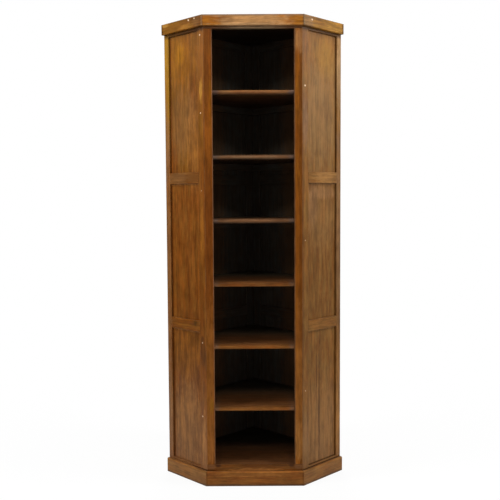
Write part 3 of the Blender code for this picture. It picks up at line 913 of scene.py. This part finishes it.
def figured_stain(bench, look, tone):
    """The stain with its figure, from the darkest streaks to the lightest."""
    ramp = bench.add("ValToRGB", {0: tone})
    for element, (light, red) in zip(ramp.color_ramp.elements, FIGURE_SHADES):
        element.color = shade(look["stain"], 1 + light * look["figure"], red)
    middle = ramp.color_ramp.elements.new(0.5)
    middle.color = shade(look["stain"])
    return ramp.outputs["Color"]


def add_marks(bench, marks, point, along_wall, height, figure, colour):
    """Lays a finish's marks over its colour, one by one; many are painted shadows and highlights."""
    spot = bench.add("CombineXYZ", {0: along_wall, 1: height}).outputs[0]
    for along, up, reach_along, reach_up, stain, share in marks:
        middle = (along, up, 0.0)
        reach = (reach_along, reach_up, 1.0)
        feeds = {"Board Point": point, "Place": spot, "Middle": middle, "Reach": reach}
        mark = bench.group("soft_mark", feeds)["Mark"]
        colour = bench.cover(colour, mark, share, bench.multiply(shade(stain), figure))
    return colour


def stained_wood(name):
    """A varnished hardwood finish with grain, ageing, wear, marks, and painted light and shade."""
    look = PLAIN_LOOK | FINISHES[name]
    material, bench, shader = new_finish(name)
    point = bench.add("Attribute", attribute_name="board_point").outputs["Vector"]
    own_tone = bench.add("Attribute", attribute_name="board_tone").outputs["Fac"]
    grain = bench.group("hardwood_grain", {"Board Point": point, "Ring Width": RING_WIDTH})
    age_and_floor_sheen = bench.group("age_and_floor_sheen_by_place", {"Board Point": point})
    rubbed_and_highlit = bench.group("worn_and_highlit_arrises", {"Board Point": point, "Width": WEAR_AND_HIGHLIGHT_WIDTH})["Wear"]
    corner_shade_mask = bench.group("painted_corner_shade", {"Board Point": point, "Reach": CORNER_SHADE_REACH})["Dirt"]
    place = bench.group("case_place", {})
    facing = bench.group("board_facing", {})

    tone = bench.math("ADD", grain["Tone"], bench.math("MULTIPLY", own_tone, OWN_TONE_SHARE))
    tone = bench.math("SUBTRACT", tone, OWN_TONE_SHARE / 2, clamp=True)
    tint = bench.mix(grain["Hue"], shade(PLAIN, 1.0, TINT_RED), shade(PLAIN, 1.0, -TINT_RED))
    contrast = MARK_CONTRAST * look["figure"]
    figure = bench.spread(tone, 0.0, 1.0, 1 - contrast, 1 + contrast)

    colour = bench.multiply(figured_stain(bench, look, tone), tint)
    colour = bench.cover(colour, age_and_floor_sheen["Gold"], look["gold"], shade(GOLD_STAIN))
    # Dust near the floor, with a painted sheen of the floor.
    colour = bench.cover(colour, age_and_floor_sheen["Grey"], look["dust_and_painted_light"], shade(DUST_AND_FLOOR_SHEEN))
    # Marks, many of them painted shadows and painted highlights.
    marks = MARKS_AND_PAINTED_LIGHT.get(name, ())
    colour = add_marks(bench, marks, point, place[look["along"]], place["Height"], figure, colour)
    if "outside" in look:
        streaks = bench.spread(tone, 0.0, 1.0, 1 - OUTSIDE_CONTRAST, 1 + OUTSIDE_CONTRAST)
        outside = bench.multiply(bench.multiply(shade(look["outside"]), streaks), tint)
        colour = bench.mix(facing["Rearward"], colour, outside)
    colour = bench.cover(colour, grain["Pores"], PORE_SHARE, shade(look["stain"], *PORE_SHADE))
    # Pale worn wood on the arrises, which also paints their highlights.
    colour = bench.cover(colour, rubbed_and_highlit, look["rub"], shade(RUBBED_WOOD_AND_HIGHLIGHT))
    # Painted shade in the corners between pieces.
    colour = bench.cover(colour, corner_shade_mask, look["corner_shade"], shade(CORNER_SHADE_COLOUR))
    # Dust on level tops, greyer and darker far inside: painted shade of the inside.
    front_share, far_share = look["tops"]
    shares = {"Depth": place["Depth"], "Front Share": front_share, "Far Share": far_share}
    tops = bench.group("dust_and_inner_shade_on_tops", shares)
    dust_and_painted_light = bench.mix(tops["Inward"], shade(DUSTY_TOP), shade(INNER_SHADE_ON_TOPS))
    colour = bench.mix(tops["Dust"], colour, bench.multiply(dust_and_painted_light, figure))
    # Painted light and shade by the way each surface faces.
    if "painted_facing_light" in look:
        colour = bench.multiply(colour, painted_light_by_facing(bench, facing["Up"], look["painted_facing_light"]))
    bench.feed(shader.inputs["Base Color"], colour)

    smears = bench.group("varnish_smears", {"Board Point": point})["Smears"]
    smoothest, dullest = look["rough"]
    rough = bench.math("ADD", bench.math("MULTIPLY", smears, dullest - smoothest), smoothest)
    worn = bench.math("MULTIPLY", bench.math("ADD", rubbed_and_highlit, corner_shade_mask), WORN_ROUGHNESS)
    bench.feed(shader.inputs["Roughness"], bench.math("ADD", rough, worn))
    relief = {"Height": grain["Relief"], "Strength": WOOD_RELIEF, "Distance": RELIEF_DEPTH}
    bench.feed(shader.inputs["Normal"], bench.add("Bump", relief).outputs[0])
    shader.inputs["Specular IOR Level"].default_value = look["shine"]
    return material


def nail_filler():
    """Pale filler over a sunk nail, a little uneven in tone and grain."""
    material, bench, shader = new_finish("nail_filler")
    grit = bench.noise(bench.add("TexCoord").outputs["Object"], *GRIT)
    colour = bench.mix(bench.spread(grit, *FILLER_SPAN), shade(FILLER_DARK), shade(FILLER_PALE))
    bench.feed(shader.inputs["Base Color"], colour)
    bench.feed(shader.inputs["Roughness"], bench.spread(grit, *FILLER_SPAN, *FILLER_ROUGHNESS))
    relief = {"Height": grit, "Strength": FILLER_RELIEF, "Distance": RELIEF_DEPTH}
    bench.feed(shader.inputs["Normal"], bench.add("Bump", relief).outputs[0])
    return material


def filler_dome(name, place, way, inward, size):
    """A domed spot of filler, a little uneven round its rim, whose foot lies in the wood."""
    draw = random.Random(name)
    raw = [draw.uniform(*NAIL_UNEVEN) for _ in range(NAIL_SIDES)]
    rims = [(raw[i - 1] + 2 * raw[i] + raw[(i + 1) % NAIL_SIDES]) / 4 for i in range(NAIL_SIDES)]
    shape = bmesh.new()
    rings = []
    for share, lift in NAIL_RINGS:
        ring = []
        for index, rim in enumerate(rims):
            turn = index * math.tau / NAIL_SIDES
            radius = share * size * rim
            out = way * radius * math.cos(turn) + UP * radius * math.sin(turn)
            ring.append(shape.verts.new(place + out - inward * lift * NAIL_CROWN))
        rings.append(ring)
    crown = shape.verts.new(place - inward * NAIL_CROWN)
    for index in range(NAIL_SIDES):
        after = (index + 1) % NAIL_SIDES
        shape.faces.new((crown, rings[0][index], rings[0][after]))
        for inner, outer in zip(rings, rings[1:]):
            shape.faces.new((inner[index], outer[index], outer[after], inner[after]))
    shape.faces.new(list(reversed(rings[-1])))
    bmesh.ops.recalc_face_normals(shape, faces=shape.faces)
    return shape


def make_nail(name, wall, corner, spot, proud, finish):
    """A filled nail hole in a wall's outer face. Its distance runs from the front corner."""
    run, inward = wall_axes(wall)
    way = run if wall == "side_right" else -run
    distance, height, size = spot
    place = corner + way * distance - inward * proud + UP * height
    nail = new_piece(name, filler_dome(name, place, way, inward, size), finish)
    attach(nail, BODY)


def make_nails():
    """The filled nail holes of both side walls and of the fascia's side boards."""
    filler = nail_filler()
    fascia_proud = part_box("face_stile_left")[0].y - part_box("fascia_front")[0].y
    right_corner = Vector((*FRONT_CORNER, 0.0))
    left_corner = Vector((-FRONT_CORNER[0], FRONT_CORNER[1], 0.0))
    for wall, corner, proud, label, places in (
        ("side_left", left_corner, 0.0, "nail_left", LEFT_NAILS),
        ("side_right", right_corner, 0.0, "nail_right", RIGHT_NAILS),
        ("side_left", left_corner, fascia_proud, "nail_fascia_left", LEFT_FASCIA_NAILS),
        ("side_right", right_corner, fascia_proud, "nail_fascia_right", RIGHT_FASCIA_NAILS),
    ):
        for index, spot in enumerate(places, 1):
            make_nail(f"{label}_{index}", wall, corner, spot, proud, filler)


def make_case():
    """Every board of the case, from its walls to its cleats."""
    finish = {name: stained_wood(name) for name in FINISHES}
    rails = ("bottom_rail", "lower_mid_rail", "upper_mid_rail", "top_rail")
    panels = ("lower_panel", "middle_panel", "upper_panel")
    for wall, stiles, frame_finish, panel_finish in (
        ("side_left", ("front_stile", "rear_stile"), "left_frame", "left_panel"),
        ("side_right", ("front_stile", "rear_stile"), "right_frame", "right_panel"),
        ("back_left", ("outer_stile", "corner_stile"), "inner", "inner"),
        ("back_right", ("outer_stile", "corner_stile"), "inner", "inner"),
    ):
        for stile in stiles:
            board(f"{wall}_{stile}", wall, "upright", finish[frame_finish])
        for rail in rails:
            board(f"{wall}_{rail}", wall, "level", finish[frame_finish])
        for panel in panels:
            board(f"{wall}_{panel}", wall, "upright", finish[panel_finish])
    board("face_stile_left", "front", "upright", finish["left_face"], LEFT_FACE_STILE_ROUNDS)
    board("face_stile_right", "front", "upright", finish["right_face"], RIGHT_FACE_STILE_ROUNDS)
    board("face_top_rail", "front", "level", finish["top_face"], TOP_RAIL_ROUNDS)
    board("base_rail", "front", "level", finish["top_face"])
    for where, wall, plinth_finish in (
        ("front", "front", "front_plinth"),
        ("left", "side_left", "side_plinth"),
        ("right", "side_right", "side_plinth"),
    ):
        board(f"fascia_{where}", wall, "level", finish[f"{where}_fascia"], FASCIA_ROUNDS)
        board(f"plinth_{where}", wall, "level", finish[plinth_finish], PLINTH_ROUNDS)
    board("top_board", "front", "flat", finish["top_board"])
    board("deck", "front", "flat", finish["deck"], DECK_ROUNDS)
    shelves = [name for name in sorted(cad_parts) if name.startswith("shelf_")]
    for name, shelf_finish in zip(shelves, SHELF_FINISHES):
        board(name, "front", "flat", finish[shelf_finish], SHELF_ROUNDS)
    for index in range(1, len(shelves) + 1):
        cleat_halves(index, finish["inner"])


# Studio

# The room: how bright each part of it is, and how far a look must turn to meet the backdrop or the pale
# wall on the right.
BACKDROP_LIGHT = 1.0
ROOM_LIGHT = 0.28
RIGHT_WALL_LIGHT = 0.55
BACKDROP_TURNS = (0.45, 0.75)
RIGHT_WALL_TURNS = (0.3, 0.9)
WHITE = (1.0, 1.0, 1.0, 1.0)

# The floor: its size and squares, how light it is, how much light it throws back on the case, how white
# the camera sees it near the case and far from it, and the distances between which that changes.
FLOOR_SIZE = 5.6
FLOOR_SQUARES = 8
FLOOR_COLOUR = (0.92, 0.92, 0.92, 1.0)
FLOOR_BOUNCE = (0.50, 0.50, 0.50, 1.0)
FLOOR_SHOWN_WHITE = (0.92, 1.0)
FLOOR_FADE = (0.5, 2.2)
LAMPS = (
    # Name, degrees to the right of the front, distance on the floor, height of its middle,
    # how wide and how tall it is, power, height it aims at
    ("left_softbox", -66, 2.3, 2.9, 1.0, 2.4, 60.0, 1.5),
    ("right_softbox", 74, 2.3, 2.9, 1.0, 2.4, 62.0, 1.5),
    ("front_softbox", 0, 3.2, 3.25, 0.7, 0.7, 24.0, 1.9),
    ("rear_softbox", 180, 2.9, 2.9, 1.6, 1.6, 60.0, 1.2),
)


def make_floor():
    """A matt white floor that keeps the case's shadow and fades into the backdrop."""
    shape = bmesh.new()
    squares = {"x_segments": FLOOR_SQUARES, "y_segments": FLOOR_SQUARES}
    bmesh.ops.create_grid(shape, size=FLOOR_SIZE / 2, **squares)
    mesh = bpy.data.meshes.new("studio_floor")
    shape.to_mesh(mesh)
    shape.free()
    material = bpy.data.materials.new("white_floor")
    material.use_nodes = True
    tree = material.node_tree
    tree.nodes.remove(tree.nodes["Principled BSDF"])
    bench = Bench(tree)
    path = bench.add("LightPath").outputs
    shown = bench.math("MAXIMUM", path["Is Camera Ray"], path["Is Glossy Ray"])
    shown = bench.math("MAXIMUM", shown, path["Is Transmission Ray"])
    grey = bench.mix(path["Is Diffuse Ray"], FLOOR_COLOUR, FLOOR_BOUNCE)
    matt = bench.add("BsdfDiffuse", {"Color": grey})
    white = bench.add("Emission", {"Strength": 1.0})
    away = bench.length(bench.add("TexCoord").outputs["Object"])
    share = bench.math("MULTIPLY", shown, bench.spread(away, *FLOOR_FADE, *FLOOR_SHOWN_WHITE))
    mixed = bench.add("MixShader", {0: share, 1: matt.outputs[0], 2: white.outputs[0]})
    bench.feed(tree.nodes["Material Output"].inputs["Surface"], mixed.outputs[0])
    mesh.materials.append(material)
    add_object("studio_floor", mesh)


def make_world():
    """White behind the case, a pale wall to its right, and a dim room elsewhere."""
    world = bpy.data.worlds.new("white_studio")
    bpy.context.scene.world = world
    world.use_nodes = True
    tree = world.node_tree
    bench = Bench(tree)
    path = bench.add("LightPath").outputs
    way = bench.add("SeparateXYZ", {0: bench.add("TexCoord").outputs["Generated"]}).outputs
    behind = bench.spread(way["Y"], *BACKDROP_TURNS)
    right = bench.spread(way["X"], *RIGHT_WALL_TURNS, 0.0, RIGHT_WALL_LIGHT)
    mirrored = bench.math("MULTIPLY", bench.math("MAXIMUM", behind, right), path["Is Glossy Ray"])
    diffuse = bench.math("MULTIPLY", path["Is Diffuse Ray"], ROOM_LIGHT)
    shown = bench.math("MAXIMUM", path["Is Camera Ray"], path["Is Transmission Ray"])
    shown = bench.math("MULTIPLY", shown, BACKDROP_LIGHT)
    strength = bench.math("MAXIMUM", bench.math("MAXIMUM", mirrored, diffuse), shown)
    room = tree.nodes["Background"]
    room.inputs["Color"].default_value = WHITE
    bench.feed(room.inputs["Strength"], strength)


def make_lamps():
    """Soft lamps round the case, which the camera doesn't see."""
    for name, azimuth, distance, height, wide, tall, power, aim in LAMPS:
        lamp = bpy.data.lights.new(name, "AREA")
        lamp.shape = "RECTANGLE"
        lamp.size = wide
        lamp.size_y = tall
        lamp.energy = power
        holder = add_object(name, lamp)
        holder.visible_camera = False
        turn = math.radians(azimuth)
        holder.location = (math.sin(turn) * distance, -math.cos(turn) * distance, height)
        away = holder.location - Vector((0.0, 0.0, aim))
        holder.rotation_euler = away.to_track_quat("Z", "Y").to_euler()


def make_camera():
    """The photograph's own view."""
    lens = bpy.data.cameras.new("camera")
    lens.sensor_fit = "HORIZONTAL"
    lens.sensor_width = SENSOR_MILLIMETRES
    lens.lens = lens.sensor_width * FOCAL_PIXELS / FRAME_PIXELS
    lens.clip_end = FARTHEST_SEEN
    camera = add_object("camera", lens)
    camera.location = CAMERA_PLACE
    tilt = Matrix.Rotation(math.pi / 2 - CAMERA_PITCH, 3, "X")
    camera.rotation_euler = (tilt @ Matrix.Rotation(CAMERA_ROLL, 3, "Z")).to_euler()
    bpy.context.scene.camera = camera


make_case()
make_nails()
make_floor()
make_world()
make_lamps()
make_camera()
bpy.context.scene.view_settings.view_transform = "Standard"
